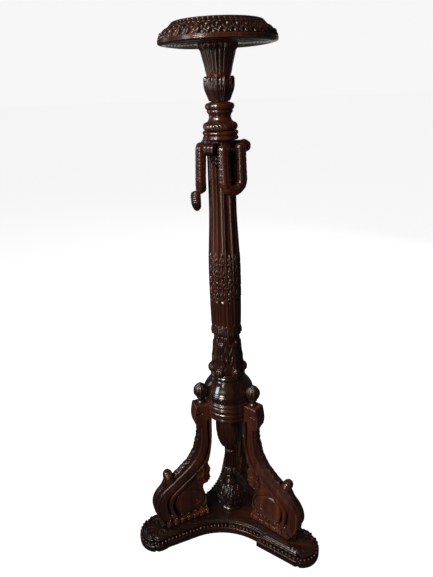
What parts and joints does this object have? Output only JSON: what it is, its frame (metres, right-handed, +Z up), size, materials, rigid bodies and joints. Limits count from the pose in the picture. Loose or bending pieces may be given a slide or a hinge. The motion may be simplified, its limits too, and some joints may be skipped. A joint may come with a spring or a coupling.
{
  "type": "carved wooden candle stand",
  "caption": "Tall carved mahogany candle stand: a round top on a fluted column with hanging swags, scroll legs and a three-armed moulded plinth.",
  "frame": {"origin": "on the column's axis at floor level, at the centre of the plinth's underside", "axes": "+Z up along the column; +Y towards the back arm of the plinth; +X to the right, between the right arm and the back arm"},
  "size_m": [0.5928, 0.5295, 1.52],
  "materials": {
    "polished_mahogany": "French-polished red-brown mahogany, glossy",
    "dark_mahogany": "carved mahogany, polished, darker in the hollows",
    "inner_hardwood": "bare hardwood, unpolished",
    "steel": "plain steel wood screws"
  },
  "bodies": {
    "root": {"top_board": "polished_mahogany", "top_tooth_rim": "dark_mahogany", "top_leaf_frieze": "dark_mahogany", "top_reeded_base": "polished_mahogany", "top_screws": "steel", "trumpet_neck": "polished_mahogany", "leaf_cup": "dark_mahogany", "neck_turning": "polished_mahogany", "collar": "polished_mahogany", "column_shaft": "polished_mahogany", "swag_right": "polished_mahogany", "swag_back": "polished_mahogany", "swag_left": "polished_mahogany", "swag_pegs": "polished_mahogany", "husk_drop": "dark_mahogany", "collar_scroll_right": "polished_mahogany", "collar_scroll_back": "polished_mahogany", "collar_scroll_left": "polished_mahogany", "shaft_leaf_ring": "dark_mahogany", "acanthus_baluster": "polished_mahogany", "hub_bulb": "polished_mahogany", "hub_block": "polished_mahogany", "pendant_drop": "polished_mahogany", "centre_spindle": "dark_mahogany", "plinth_urn": "polished_mahogany", "leg_back": "polished_mahogany", "leg_left": "polished_mahogany", "leg_right": "polished_mahogany", "leg_bud_back": "dark_mahogany", "leg_bud_left": "dark_mahogany", "leg_bud_right": "dark_mahogany", "leg_dowels": "inner_hardwood", "leg_screws": "steel", "plinth_arm_back": "polished_mahogany", "plinth_arm_left": "polished_mahogany", "plinth_arm_right": "polished_mahogany", "plinth_centre_block": "inner_hardwood", "bead_strip_back": "dark_mahogany", "bead_strip_left": "dark_mahogany", "bead_strip_right": "dark_mahogany"}
  },
  "joints": []
}
